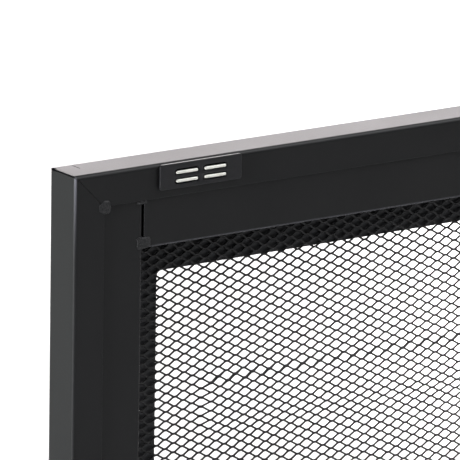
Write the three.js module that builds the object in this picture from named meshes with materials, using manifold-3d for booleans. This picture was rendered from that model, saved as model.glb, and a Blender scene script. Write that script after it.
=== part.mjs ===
// Fireplace screen: a folded sheet-steel frame with an expanded-metal panel behind its window.
// Two magnetic catches on the fire side hold it to a steel surround.
//
// Millimetres, +Z up. The room side faces -Y and the fire side +Y. The screen stands on Z = 0,
// and its middle is on the Z axis. "Inset" is a distance inwards from the frame's outer edge.

import * as THREE from "three";
import { mergeVertices } from "three/addons/utils/BufferGeometryUtils.js";
import Module from "manifold-3d";

const wasm = await Module();
wasm.setup();

// ---- Driving dimensions -----------------------------------------------------------------------

const WIDTH = 914;
const HEIGHT = 660;
const DEPTH = 22; // front face to return flange
const SHEET = 1.2; // steel thickness
const GAP = 0.3; // clearance between pieces that touch

const FRAME = {
  border: 61, // inset of the window
  windowRadius: 3,
  fold: 2, // outer radius of the folds
  flange: 17, // width of the return flange
  seam: 0.4, // width of the open corner seams
  relief: 1.6, // radius of the relief hole at each mitre
  reliefInset: 17.4,
};

const FOLD_SLOT = {
  inset: 2.2, // how far it reaches in from the side
  fall: 1.5, // how far it reaches in from the top or bottom
  from: 1.4, // behind the front face
  to: 5.5,
};

const SLIT = {
  inset: 11,
  width: 0.4,
  from: 3, // behind the front face
  to: 9.5,
};

const RETAINER = {
  outer: 12.6, // inset of the web's outer edge, under the return flange
  sideInner: 40, // inset of the inner face of the left and right retainers
  railInner: 41.3, // inset of the inner face of the top and bottom retainers
  fold: 1.5,
  foot: 12, // width of the foot that holds the panel down
  butt: 1, // gap where a rail retainer meets a side retainer
};

const PANEL = {
  inset: 31,
  thickness: 1.8,
};

const RIB = {
  inset: 88.5, // from the frame's side to the rib's end
  fromEdge: 120.7, // from the frame's top or bottom edge to the rib
  height: 20.5,
  rise: 2.2,
  slope: 4,
};

const CATCH = {
  fromSide: 71.5, // frame's side to the catch's middle
  fromTop: 6.7, // frame's top to the faceplate's middle
  plate: new THREE.Vector3(47.4, 1.4, 12.6),
  plateRadius: 1.5,
  body: new THREE.Vector3(43, 12, 8.8),
  bodyDrop: 0.5, // the body's middle lies this far below the faceplate's middle
  wall: 0.8,
  cover: 1.2,
  barb: new THREE.Vector3(0.6, 3, 4),
  columns: 8.2, // catch's middle to each magnet pack's middle
};

const POLE = {
  length: 13,
  thickness: 1.85,
  proud: 0.3, // beyond the faceplate
  depth: 11.6,
  clearance: 0.45, // between a pole plate and the ends of its slot
};

const MAGNET = {
  length: 12.4,
  thickness: 1.8,
  depth: 9,
};

// ---- Levels worked out from them --------------------------------------------------------------

const PLATE_TOP = GAP + CATCH.plate.y; // faceplate's outer face above the return flange
const OVERALL_DEPTH = DEPTH + PLATE_TOP + POLE.proud;
const FRONT_Y = -OVERALL_DEPTH / 2;
const BACK_Y = FRONT_Y + DEPTH; // outer face of the return flange
const PANEL_FRONT_Y = FRONT_Y + SHEET + GAP;
const PANEL_BACK_Y = PANEL_FRONT_Y + PANEL.thickness;
const WEB_Y = BACK_Y - SHEET - GAP; // outer face of the retainers' webs
const FOOT_Y = PANEL_BACK_Y + GAP; // face of the retainers' feet on the panel

const LAP = 0.5; // how far a solid reaches into the one that it joins
const PAST = 1; // how far a cut reaches past the face that it opens

const FOLD_STEPS = 6;
const ROUND_STEPS = 6;
const HOLE_SIDES = 20;

// ---- Materials --------------------------------------------------------------------------------

function powderCoat() {
  return new THREE.MeshStandardMaterial({ color: 0x26272a, roughness: 0.5, metalness: 0.1 });
}

function blackPlastic() {
  return new THREE.MeshStandardMaterial({ color: 0x2b2b2f, roughness: 0.55, metalness: 0 });
}

function zincSteel() {
  return new THREE.MeshStandardMaterial({ color: 0xd8dacf, roughness: 0.35, metalness: 1 });
}

function ferrite() {
  return new THREE.MeshStandardMaterial({ color: 0x2a2b2e, roughness: 0.8, metalness: 0 });
}

// ---- Solids -----------------------------------------------------------------------------------

// A closed three.js geometry as a solid that can be joined and cut.
function solid(geometry) {
  geometry.deleteAttribute("normal");
  geometry.deleteAttribute("uv");
  const merged = mergeVertices(geometry, 1e-4);
  return new wasm.Manifold(
    new wasm.Mesh({
      numProp: 3,
      vertProperties: merged.attributes.position.array,
      triVerts: new Uint32Array(merged.index.array),
    }),
  );
}

// The geometry of a solid.
function geometryOf(body) {
  const { vertProperties, triVerts } = body.getMesh();
  const geometry = new THREE.BufferGeometry();
  geometry.setAttribute("position", new THREE.BufferAttribute(vertProperties, 3));
  geometry.setIndex(new THREE.BufferAttribute(triVerts, 1));
  const flat = geometry.toNonIndexed();
  flat.computeVertexNormals();
  return flat;
}

// A block between two opposite corners.
function block(low, high) {
  const size = high.map((value, axis) => value - low[axis]);
  const middle = high.map((value, axis) => (value + low[axis]) / 2);
  return solid(new THREE.BoxGeometry(...size).translate(...middle));
}

// A flat outline drawn in X and Z, given a thickness from one Y to another.
function slab(shape, fromY, toY) {
  const geometry = new THREE.ExtrudeGeometry(shape, {
    depth: toY - fromY,
    bevelEnabled: false,
    curveSegments: ROUND_STEPS,
  });
  return solid(geometry.rotateX(Math.PI / 2).translate(0, toY, 0));
}

// A rectangle with rounded corners, drawn round its own middle, as a Shape or as a Path.
function roundedRectangle(Outline, width, height, radius, middleY = 0) {
  const [x, y] = [width / 2 - radius, height / 2 - radius];
  const outline = new Outline();
  outline.absarc(x, middleY - y, radius, -Math.PI / 2, 0);
  outline.absarc(x, middleY + y, radius, 0, Math.PI / 2);
  outline.absarc(-x, middleY + y, radius, Math.PI / 2, Math.PI);
  outline.absarc(-x, middleY - y, radius, Math.PI, 1.5 * Math.PI);
  return outline;
}

// The section of a folded strip, in inset and Y. "faces" are the corners of its outer faces, all
// folds turn the same way, and the inner faces lie one sheet further in.
function foldedSection(faces, radius) {
  const corners = faces.map(([inset, y]) => new THREE.Vector2(inset, y));
  const along = corners.slice(1).map((corner, i) => corner.clone().sub(corners[i]).normalize());
  const last = along.length - 1;
  const outer = [corners[0]];
  const inner = [corners[0].clone().addScaledVector(along[1], SHEET)];
  for (let i = 1; i <= last; i++) {
    const [before, after] = [along[i - 1], along[i]];
    const centre = corners[i].clone().addScaledVector(before, -radius).addScaledVector(after, radius);
    for (let step = 0; step <= FOLD_STEPS; step++) {
      const turn = ((Math.PI / 2) * step) / FOLD_STEPS;
      const outwards = new THREE.Vector2()
        .addScaledVector(after, -Math.cos(turn))
        .addScaledVector(before, Math.sin(turn));
      outer.push(centre.clone().addScaledVector(outwards, radius));
      inner.push(centre.clone().addScaledVector(outwards, radius - SHEET));
    }
  }
  outer.push(corners[last + 1]);
  inner.push(corners[last + 1].clone().addScaledVector(along[last - 1], -SHEET));
  return [...outer, ...inner.reverse()];
}

// A section carried round the whole frame, with a mitre at each corner.
function mitredRing(section) {
  const positions = [];
  const index = [];
  const count = section.length;
  const corners = [
    [-1, 0],
    [1, 0],
    [1, 1],
    [-1, 1],
  ];
  for (const [side, top] of corners) {
    for (const { x: inset, y } of section) {
      positions.push(side * (WIDTH / 2 - inset), y, top ? HEIGHT - inset : inset);
    }
  }
  for (let corner = 0; corner < corners.length; corner++) {
    const next = (corner + 1) % corners.length;
    for (let i = 0; i < count; i++) {
      const j = (i + 1) % count;
      const [a, b, c, d] = [corner * count + i, next * count + i, next * count + j, corner * count + j];
      index.push(a, c, b, a, d, c);
    }
  }
  const geometry = new THREE.BufferGeometry();
  geometry.setAttribute("position", new THREE.Float32BufferAttribute(positions, 3));
  geometry.setIndex(index);
  return solid(geometry);
}

// ---- Frame ------------------------------------------------------------------------------------

// What is cut out of one corner of the frame: the mitre seam and its relief hole in the flange,
// the seam between the walls, and the relief slot beside the front fold.
function cornerCuts(side, top) {
  const toX = (inset) => side * (WIDTH / 2 - inset);
  const toZ = (inset) => (top ? HEIGHT - inset : inset);
  const cut = (low, high) => {
    const xs = [toX(low.inset), toX(high.inset)].sort((a, b) => a - b);
    const zs = [toZ(low.fall), toZ(high.fall)].sort((a, b) => a - b);
    return block([xs[0], low.y, zs[0]], [xs[1], high.y, zs[1]]);
  };
  const flangeY = BACK_Y - SHEET / 2;
  const middle = (FRAME.flange + SHEET) / 2;
  const diagonal = new THREE.BoxGeometry(FRAME.flange * Math.SQRT2, 2 * SHEET, FRAME.seam)
    .rotateY(side * (top ? -1 : 1) * (Math.PI / 4))
    .translate(toX(middle), flangeY, toZ(middle));
  const hole = new THREE.CylinderGeometry(FRAME.relief, FRAME.relief, 2 * SHEET, HOLE_SIDES)
    .translate(toX(FRAME.reliefInset), flangeY, toZ(FRAME.reliefInset));
  const seamInset = SHEET + FRAME.seam / 4;
  const wallSeam = cut(
    { inset: seamInset, y: FRONT_Y + FOLD_SLOT.to - LAP, fall: -PAST },
    { inset: seamInset + FRAME.seam, y: BACK_Y + PAST, fall: FRAME.fold + GAP },
  );
  const foldSlot = cut(
    { inset: -PAST, y: FRONT_Y + FOLD_SLOT.from, fall: -PAST },
    { inset: FOLD_SLOT.inset, y: FRONT_Y + FOLD_SLOT.to, fall: FOLD_SLOT.fall },
  );
  return [solid(diagonal), solid(hole), wallSeam, foldSlot];
}

// A narrow slit in the top wall, beside each corner.
function wallSlit(side) {
  const x = side * (WIDTH / 2 - SLIT.inset);
  const half = SLIT.width / 2;
  return block(
    [x - half, FRONT_Y + SLIT.from, HEIGHT - 2 * SHEET],
    [x + half, FRONT_Y + SLIT.to, HEIGHT + PAST],
  );
}

// The opening in the flange that a catch's body passes through.
function catchOpening(side) {
  const x = side * (WIDTH / 2 - CATCH.fromSide);
  const z = HEIGHT - CATCH.fromTop - CATCH.bodyDrop;
  const halfWidth = CATCH.body.x / 2 + GAP;
  const halfHeight = CATCH.body.z / 2 + GAP;
  return block(
    [x - halfWidth, BACK_Y - 2 * SHEET, z - halfHeight],
    [x + halfWidth, BACK_Y + PAST, z + halfHeight],
  );
}

// The frame: one sheet with a window, four walls folded back and a return flange on each.
function frontPan() {
  const turnIn = 10; // how far the folded section reaches over the face
  const section = foldedSection(
    [
      [turnIn, FRONT_Y],
      [0, FRONT_Y],
      [0, BACK_Y],
      [FRAME.flange, BACK_Y],
    ],
    FRAME.fold,
  );
  const inset = turnIn / 2;
  const face = new THREE.Shape();
  face.moveTo(inset - WIDTH / 2, inset);
  face.lineTo(WIDTH / 2 - inset, inset);
  face.lineTo(WIDTH / 2 - inset, HEIGHT - inset);
  face.lineTo(inset - WIDTH / 2, HEIGHT - inset);
  face.closePath();
  const [windowWidth, windowHeight] = [WIDTH - 2 * FRAME.border, HEIGHT - 2 * FRAME.border];
  face.holes.push(
    roundedRectangle(THREE.Path, windowWidth, windowHeight, FRAME.windowRadius, HEIGHT / 2),
  );
  let pan = mitredRing(section).add(slab(face, FRONT_Y, FRONT_Y + SHEET));
  for (const side of [-1, 1]) {
    const cuts = [...cornerCuts(side, 0), ...cornerCuts(side, 1), wallSlit(side), catchOpening(side)];
    for (const cut of cuts) {
      pan = pan.subtract(cut);
    }
  }
  return geometryOf(pan);
}

// ---- Retainers --------------------------------------------------------------------------------

// A C-section strip that holds the panel down. "quarter" is the number of quarter turns about Y
// that bring the left side to this one: 0 left, 1 top, 2 right, 3 bottom.
function retainer(quarter) {
  const isRail = quarter % 2 === 1;
  const inner = isRail ? RETAINER.railInner : RETAINER.sideInner;
  const section = foldedSection(
    [
      [RETAINER.outer, WEB_Y],
      [inner, WEB_Y],
      [inner, FOOT_Y],
      [inner - RETAINER.foot, FOOT_Y],
    ],
    RETAINER.fold,
  );
  const [along, across] = isRail ? [WIDTH, HEIGHT] : [HEIGHT, WIDTH];
  const endInset = isRail ? RETAINER.sideInner + RETAINER.butt : RETAINER.outer;
  const length = along - 2 * endInset;
  return new THREE.ExtrudeGeometry(new THREE.Shape(section), { depth: length, bevelEnabled: false })
    .translate(-across / 2, 0, -length / 2)
    .rotateY((quarter * Math.PI) / 2)
    .translate(0, 0, HEIGHT / 2);
}

// ---- Panel ------------------------------------------------------------------------------------

// A raised band across the panel with sloping edges, from one Y to another.
function ribBand(middleZ, fromY, toY) {
  const outer = [WIDTH / 2 - RIB.inset, RIB.height / 2];
  const inner = outer.map((half) => half - RIB.slope);
  const positions = [];
  for (const [[x, z], y] of [[outer, fromY], [inner, toY]]) {
    positions.push(-x, y, -z, x, y, -z, x, y, z, -x, y, z);
  }
  const corners = 4;
  const index = [0, 1, 2, 0, 2, 3, 4, 6, 5, 4, 7, 6];
  for (let i = 0; i < corners; i++) {
    const j = (i + 1) % corners;
    index.push(i, i + corners, j + corners, i, j + corners, j);
  }
  const geometry = new THREE.BufferGeometry();
  geometry.setAttribute("position", new THREE.Float32BufferAttribute(positions, 3));
  geometry.setIndex(index);
  return solid(geometry.translate(0, 0, middleZ));
}

// The expanded-metal panel as a thin sheet of its full thickness, with two pressed ribs.
function meshPanel() {
  const x = WIDTH / 2 - PANEL.inset;
  const overlap = GAP / 10;
  let panel = block([-x, PANEL_FRONT_Y, PANEL.inset], [x, PANEL_BACK_Y, HEIGHT - PANEL.inset]);
  const fromEdge = RIB.fromEdge + RIB.height / 2;
  for (const z of [fromEdge, HEIGHT - fromEdge]) {
    const rib = ribBand(z, PANEL_BACK_Y - overlap, PANEL_BACK_Y + RIB.rise);
    const recess = ribBand(z, PANEL_FRONT_Y - overlap, PANEL_FRONT_Y + RIB.rise);
    panel = panel.add(rib).subtract(recess);
  }
  return geometryOf(panel);
}

// ---- Magnetic catch ---------------------------------------------------------------------------
// Each catch is drawn round its own point: the faceplate's middle, on the return flange's face.

const CATCH_BACK_Y = GAP - CATCH.body.y; // inner end of the body
const POLE_OFFSET = MAGNET.thickness / 2 + GAP + POLE.thickness / 2; // pack's middle to a pole's

// The faceplate and body in one moulding, with two pockets, four slots and a snap barb each end.
function catchHousing() {
  const { plate, body, wall, bodyDrop } = CATCH;
  const [halfX, halfZ] = [body.x / 2, body.z / 2];
  const outline = roundedRectangle(THREE.Shape, plate.x, plate.z, CATCH.plateRadius);
  let housing = slab(outline, GAP, PLATE_TOP).add(
    block([-halfX, CATCH_BACK_Y, -bodyDrop - halfZ], [halfX, GAP + LAP, halfZ - bodyDrop]),
  );
  for (const side of [-1, 1]) {
    housing = housing.add(snapBarb(side));
    housing = housing.subtract(packPocket(side));
    for (const row of [-1, 1]) {
      housing = housing.subtract(poleSlot(side, row));
    }
  }
  const [coverX, coverZ] = [halfX - wall, halfZ - wall];
  const coverSeat = block(
    [-coverX, CATCH_BACK_Y - PAST, -bodyDrop - coverZ],
    [coverX, CATCH_BACK_Y + CATCH.cover, coverZ - bodyDrop],
  );
  return geometryOf(housing.subtract(coverSeat));
}

// A wedge on the end of the body that snaps behind the flange.
function snapBarb(side) {
  const { body, barb } = CATCH;
  const endX = body.x / 2;
  const topY = -SHEET - GAP;
  const wedge = new THREE.Shape([
    new THREE.Vector2(endX - LAP, topY),
    new THREE.Vector2(endX + barb.x, topY),
    new THREE.Vector2(endX, topY - barb.y),
    new THREE.Vector2(endX - LAP, topY - barb.y),
  ]);
  const geometry = new THREE.ExtrudeGeometry(wedge, { depth: barb.z, bevelEnabled: false })
    .translate(0, 0, -barb.z / 2)
    .rotateY(side > 0 ? 0 : Math.PI);
  return solid(geometry.translate(0, 0, -CATCH.bodyDrop));
}

// The pocket that a magnet pack floats in, open towards the cover.
function packPocket(side) {
  const x = side * CATCH.columns;
  const halfX = POLE.length / 2 + POLE.clearance;
  const halfZ = CATCH.body.z / 2 - CATCH.wall;
  return block(
    [x - halfX, CATCH_BACK_Y - PAST, -CATCH.bodyDrop - halfZ],
    [x + halfX, GAP, halfZ - CATCH.bodyDrop],
  );
}

// The slot in the faceplate that one pole plate shows through.
function poleSlot(side, row) {
  const x = side * CATCH.columns;
  const halfX = POLE.length / 2 + POLE.clearance;
  const near = row * (MAGNET.thickness / 2) - CATCH.bodyDrop;
  const far = row * (CATCH.body.z / 2 - CATCH.wall) - CATCH.bodyDrop;
  return block(
    [x - halfX, GAP - LAP, Math.min(near, far)],
    [x + halfX, PLATE_TOP + PAST, Math.max(near, far)],
  );
}

// The plate that closes the inner end of the body.
function catchCover() {
  const inset = CATCH.wall + GAP;
  const x = CATCH.body.x / 2 - inset;
  const z = CATCH.body.z / 2 - inset;
  return new THREE.BoxGeometry(2 * x, CATCH.cover - GAP, 2 * z)
    .translate(0, CATCH_BACK_Y + (CATCH.cover - GAP) / 2, -CATCH.bodyDrop);
}

// A ferrite block, drawn with its front face just behind the faceplate.
function magnet() {
  return new THREE.BoxGeometry(MAGNET.length, MAGNET.depth, MAGNET.thickness)
    .translate(0, -MAGNET.depth / 2, 0);
}

// A steel pole plate, drawn with its tip proud of the faceplate.
function polePlate() {
  const tip = PLATE_TOP + POLE.proud;
  return new THREE.BoxGeometry(POLE.length, POLE.depth, POLE.thickness)
    .translate(0, tip - POLE.depth / 2, 0);
}

// ---- Assembly ---------------------------------------------------------------------------------

const group = new THREE.Group();

function addMesh(parent, name, geometry, material) {
  const mesh = new THREE.Mesh(geometry, material);
  mesh.name = name;
  parent.add(mesh);
  return mesh;
}

function addCatch(name, side) {
  const unit = new THREE.Group();
  unit.position.set(side * (WIDTH / 2 - CATCH.fromSide), BACK_Y, HEIGHT - CATCH.fromTop);
  addMesh(unit, name + "_housing", catchHousing(), blackPlastic());
  addMesh(unit, name + "_cover", catchCover(), blackPlastic());
  const packs = { outer: side * CATCH.columns, inner: -side * CATCH.columns };
  for (const [place, x] of Object.entries(packs)) {
    const pack = new THREE.Group();
    pack.position.set(x, 0, -CATCH.bodyDrop);
    addMesh(pack, name + "_" + place + "_magnet", magnet(), ferrite());
    const upper = addMesh(pack, name + "_" + place + "_upper_pole", polePlate(), zincSteel());
    const lower = addMesh(pack, name + "_" + place + "_lower_pole", polePlate(), zincSteel());
    upper.position.z = POLE_OFFSET;
    lower.position.z = -POLE_OFFSET;
    unit.add(pack);
  }
  group.add(unit);
}

addMesh(group, "front_pan", frontPan(), powderCoat());
addMesh(group, "mesh_panel", meshPanel(), powderCoat());
["left", "top", "right", "bottom"].forEach((place, quarter) => {
  addMesh(group, place + "_retainer", retainer(quarter), powderCoat());
});
addCatch("left_catch", -1);
addCatch("right_catch", 1);

export default group;
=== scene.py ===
"""A fireplace screen: folded sheet-steel frame, expanded-metal panel and two magnetic catches.

Metres, +Z up. The room side faces -Y and the fire side +Y. "Inset" is a distance inwards from the
frame's outer edge, and "along" is a distance from a corner along one side.
"""

import math

import bmesh
import bpy
import numpy as np
from mathutils import Matrix, Vector


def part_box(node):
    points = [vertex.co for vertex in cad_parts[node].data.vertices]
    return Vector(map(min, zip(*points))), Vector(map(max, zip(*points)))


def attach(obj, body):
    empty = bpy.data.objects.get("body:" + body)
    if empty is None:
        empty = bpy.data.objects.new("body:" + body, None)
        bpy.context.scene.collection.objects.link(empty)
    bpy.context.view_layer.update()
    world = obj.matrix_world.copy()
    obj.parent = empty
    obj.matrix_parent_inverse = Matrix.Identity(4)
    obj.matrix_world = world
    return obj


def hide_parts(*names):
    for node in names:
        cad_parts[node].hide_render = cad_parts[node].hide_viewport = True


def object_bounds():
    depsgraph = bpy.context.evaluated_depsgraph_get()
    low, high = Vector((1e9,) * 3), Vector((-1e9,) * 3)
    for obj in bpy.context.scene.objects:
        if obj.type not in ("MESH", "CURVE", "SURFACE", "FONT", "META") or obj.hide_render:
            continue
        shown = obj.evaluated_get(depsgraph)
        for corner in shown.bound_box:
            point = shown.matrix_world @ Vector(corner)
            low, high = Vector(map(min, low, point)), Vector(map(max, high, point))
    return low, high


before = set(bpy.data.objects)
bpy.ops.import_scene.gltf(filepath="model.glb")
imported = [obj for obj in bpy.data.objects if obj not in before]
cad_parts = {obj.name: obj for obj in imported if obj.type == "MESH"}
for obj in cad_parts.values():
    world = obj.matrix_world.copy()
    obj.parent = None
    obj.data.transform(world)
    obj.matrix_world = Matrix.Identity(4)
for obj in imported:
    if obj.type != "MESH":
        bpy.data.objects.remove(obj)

CAD_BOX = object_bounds()

bl_info = {
    "name": "Fireplace screen",
    "version": (1, 0, 0),
    "blender": (4, 5, 0),
    "location": "View3D > Sidebar > Fire Screen",
    "description": "Builds a fireplace screen of folded steel and expanded metal",
    "category": "Object",
}

# ---- Places read from the frame ------------------------------------------------------------------

MM = 0.001
TINY = 1e-9
NEAR_EDGE = 1e-6
QUARTER = math.pi / 2

PAN_LOW, PAN_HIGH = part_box("front_pan")
WIDTH = PAN_HIGH.x - PAN_LOW.x
HEIGHT = PAN_HIGH.z
FRONT = PAN_LOW.y
BACK = PAN_HIGH.y
PANEL_LOW, PANEL_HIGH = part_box("mesh_panel")

SIDES = ("top", "right", "bottom", "left")
HANDS = ("left", "right")
PLACES = ("outer", "inner")
ROWS = ("upper", "lower")


def middle(node):
    """The middle of a node's box."""
    low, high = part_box(node)
    return (low + high) / 2


# ---- Sizes and colours ---------------------------------------------------------------------------


def length(name, description, millimetres):
    """A length, given in millimetres and kept in metres."""
    return bpy.props.FloatProperty(
        name=name,
        description=description,
        default=millimetres * MM,
        subtype="DISTANCE",
        precision=5,
    )


def extent(name, description, *millimetres):
    """A piece's sizes along X, Y and Z, given in millimetres."""
    return bpy.props.FloatVectorProperty(
        name=name,
        description=description,
        default=[size * MM for size in millimetres],
        size=3,
        subtype="XYZ_LENGTH",
    )


def turn(name, description, degrees):
    """An angle, given in degrees and kept in radians."""
    return bpy.props.FloatProperty(
        name=name, description=description, default=math.radians(degrees), subtype="ANGLE"
    )


def paint(name, description, default):
    """A colour in linear red, green and blue."""
    return bpy.props.FloatVectorProperty(
        name=name, description=description, default=default, size=3, subtype="COLOR"
    )


def glow(name, description, default):
    """How bright a lamp's face is, where 1 is white."""
    return bpy.props.FloatProperty(name=name, description=description, default=default, min=0)


class PanSizes(bpy.types.PropertyGroup):
    """Sizes of the folded frame."""

    sheet: length("Sheet", "Thickness of the steel", 1.2)
    fold: length("Fold", "Outer radius of the folds", 2)
    edge: length("Edge", "Rounding of the sheet's cut edges", 0.25)
    border: length("Border", "Inset of the window", 61)
    window_radius: length("Window radius", "Radius of the window's corners", 3)
    window_stretch: bpy.props.FloatVectorProperty(
        name="Window stretch",
        description="How much further inwards the window's edges lie along X and Z",
        default=(0.7 * MM, -1.2 * MM),
        size=2,
    )
    flange: length("Flange", "Width of the return flange", 17)
    mitre: length("Mitre gap", "Half the gap where two flanges meet", 0.03)
    mitre_edge: length("Mitre edge", "Bevel of the flanges along that gap", 0.14)
    wall_gap: length("Wall gap", "How far the upright walls stop short of the corner", 0.75)
    relief: length("Relief", "Radius of the hole at each mitre's end", 1.6)
    relief_inset: length("Relief inset", "Inset of that hole's middle", 17.4)
    slot_to: length("Slot end", "How far behind the front the corner slot ends", 4.8)
    slot_reach: length("Slot reach", "How far the corner slot reaches along each side", 1)
    slit_inset: length("Slit inset", "Distance of the top wall's slit from the corner", 11)
    slit_width: length("Slit width", "Width of the slit in the top wall", 0.5)
    slit_from: length("Slit start", "How far behind the front the slit starts", 3)
    slit_to: length("Slit end", "How far behind the front the slit ends", 9.5)


class RetainerSizes(bpy.types.PropertyGroup):
    """Sizes of the strips that hold the panel."""

    fold: length("Fold", "Outer radius of the folds", 1.5)
    foot: length("Foot", "Width of the foot on the panel", 12)
    patch: extent("Weld patch", "Size of the weld across the end of each butt joint", 8, 1.1, 6)
    plug: extent("Plug weld", "Size of the round weld where two flanges meet", 6.8, 1.2, 6.6)
    tack: extent("Tack", "Size of the small weld at the head of each butt joint", 5.6, 2.2, 2.8)


class MeshSizes(bpy.types.PropertyGroup):
    """Sizes of the expanded metal."""

    pitch_x: length("Long way", "Distance between knots along a row", 10.124)
    pitch_z: length("Short way", "Distance between knots across the rows", 4.706)
    skew: turn("Skew", "Turn of the rows about Y", 1.01)
    knot_half: length("Knot half length", "Half of a knot, tip to tip", 1.43)
    shoulder: length("Shoulder", "Half of a knot's flat top", 0.7)
    knot_rise: length("Knot rise", "Half of a knot's height", 0.63)
    gauge: length("Gauge", "Thickness of the metal", 0.9)
    twist: length("Twist", "How far a knot's top leans out of the sheet", 0.42)
    first_x: length("First knot X", "Distance of a knot from the right side", 133.10)
    first_z: length("First knot Z", "Distance of the same knot from the top", 130.43)
    rib_inset: length("Rib inset", "Distance of a rib's end from the side", 88.5)
    rib_fall: length("Rib fall", "Distance of a rib from the top or bottom", 119.2)
    rib_height: length("Rib height", "Height of a rib", 24.2)
    rib_rise: length("Rib rise", "How far a rib stands towards the fire", 2)
    rib_sink: length("Rib sink", "How much lower a rib is away from its ends", 0.65)
    outer_ramp: length("Outer ramp", "Width of a rib's slope next to the frame", 5)
    inner_ramp: length("Inner ramp", "Width of a rib's slope next to the middle", 14)
    dish: length("Dish", "How far the panel sinks between the ribs", 1.1)
    dish_ramp: length("Dish ramp", "Width over which it sinks from the sides", 60)
    stand_up: bpy.props.FloatProperty(
        name="Stand up",
        description="How strongly a rib's upper slope stands its knots up",
        default=2.5,
    )
    unevenness: length("Unevenness", "Random shift of each knot", 0.05)
    bands: bpy.props.IntProperty(name="Bands", description="Pieces of the panel", default=4)
    seed: bpy.props.IntProperty(name="Seed", description="Seed of the random shifts", default=7)


class CatchSizes(bpy.types.PropertyGroup):
    """Sizes of the magnetic catches."""

    plate: length("Faceplate", "Thickness of the faceplate", 1.4)
    plate_radius: length("Plate radius", "Radius of the faceplate's corners", 1.5)
    plate_rim: length("Plate rim", "Rounding of the faceplate's edges", 0.35)
    body_x: length("Body width", "Width of the body behind the faceplate", 43)
    body_z: length("Body height", "Height of that body", 8.8)
    body_radius: length("Body radius", "Radius of the body's corners", 0.8)
    wall: length("Wall", "Thickness of the body's walls", 0.8)
    lip: length("Lip", "Rounding of the slots' edges", 0.15)
    slot_play: length("Slot play", "Gap at each end of a pole plate", 0.45)
    slot_rib: length("Slot rib", "Height of the bar between two slots", 1.5)
    slot_top: length("Slot top", "From the pack's middle to the far edge of a slot", 3.85)
    pole_radius: length("Pole radius", "Radius of a pole plate's corners", 0.7)
    pole_rim: length("Pole rim", "Rounding of a pole plate's tip", 0.4)
    pole_short: length("Pole shortening", "How much shorter the stamped plate is", 0.5)
    pole_thin: length("Pole thinning", "How much thinner the stamped plate is", 0.40)


class Colours(bpy.types.PropertyGroup):
    """Colours of the finishes."""

    coat: paint("Powder coat", "Black powder coat on the steel", (0.0072, 0.0074, 0.0080))
    coat_light: paint("Powder coat, thin", "Where it is thin", (0.0115, 0.0116, 0.0118))
    # Pale grey painted on the face's inner side behind the panel: painted fill light for a shaded
    # place, not the coat's own colour.
    inside: paint("Powder coat, inside", "On the face's inner side", (0.058, 0.058, 0.062))
    # Pale grey for painted highlights: on the upright folds near the top and along the long strips'
    # inner folds.
    wear_and_painted_highlight: paint("Powder coat, wear_and_painted_highlight", "On the folds' rubbed tops", (0.16, 0.16, 0.185))
    weld: paint("Powder coat, weld", "The coat on the crests of a weld", (0.017, 0.017, 0.018))
    mesh: paint("Mesh coat", "Black coat on the expanded metal", (0.0100, 0.0100, 0.0106))
    mesh_light: paint("Mesh coat, dusty", "The same coat with dust on it", (0.0200, 0.0196, 0.0192))
    plastic: paint("Catch plastic", "Moulded black plastic", (0.0118, 0.0118, 0.0132))
    zinc: paint("Zinc", "Zinc plate on the pole plates", (0.99, 0.99, 0.93))
    zinc_dark: paint("Zinc, dull", "Zinc plate where it has dulled", (0.86, 0.86, 0.80))
    oxide: paint("Oxide", "Steel inside the housing", (0.03, 0.03, 0.035))
    ferrite: paint("Ferrite", "Sintered magnet", (0.035, 0.035, 0.038))
    floor: paint("Floor", "Pale studio floor", (0.80, 0.80, 0.80))


class StageSettings(bpy.types.PropertyGroup):
    """Camera and lights."""

    lens: bpy.props.FloatProperty(
        name="Lens",
        description="Focal length on a 36 mm frame",
        default=485.2,
        subtype="DISTANCE_CAMERA",
    )
    aim: bpy.props.FloatVectorProperty(
        name="Aim",
        description="Point on the return flange's plane that the camera looks at",
        default=(0.36698, BACK, 0.62158),
        size=3,
        subtype="XYZ_LENGTH",
    )
    distance: length("Distance", "From the camera to that point", 2997.88)
    azimuth: turn("Azimuth", "Camera's turn from +Y towards +X", 34.886)
    elevation: turn("Elevation", "Camera's angle above the horizon", 14.868)
    roll: turn("Roll", "Camera's turn about its own axis", 0.95)
    world: glow("World", "Brightness of the room all round", 0.08)
    back_panel: glow("Back panel", "Soft upright panel beyond the room side", 3.55)
    near_panel: glow("Near panel", "Smaller panel in front of it", 1.8)
    ground: glow("Ground light", "Lamp over the floor beyond the room side", 1.5)
    floor_strip: glow("Floor strip", "Long lamp low over the floor beyond the room side", 28.0)
    ceiling: glow("Ceiling light", "Lamp above and to the left", 6.0)
    front_floor: glow("Front floor light", "Lamp over the floor on the fire side", 1.3)
    right_strip: glow("Right strip", "Upright strip on the right", 48.0)
    far_panel: glow("Far panel", "Panel far to the right", 6.2)
    right_floor: glow("Right floor light", "Lamp over the floor on the right", 9.0)
    floor_size: length("Floor size", "Width of the floor", 80000)


class FireScreen(bpy.types.PropertyGroup):
    """All the settings of the fireplace screen."""

    pan: bpy.props.PointerProperty(name="Frame", description="Folded frame", type=PanSizes)
    retainer: bpy.props.PointerProperty(name="Retainers", description="Strips", type=RetainerSizes)
    mesh: bpy.props.PointerProperty(name="Mesh", description="Expanded metal", type=MeshSizes)
    catch: bpy.props.PointerProperty(name="Catches", description="Catches", type=CatchSizes)
    colours: bpy.props.PointerProperty(name="Colours", description="Finishes", type=Colours)
    stage: bpy.props.PointerProperty(name="Stage", description="Camera, lights", type=StageSettings)


# ---- Shader maths --------------------------------------------------------------------------------


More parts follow.
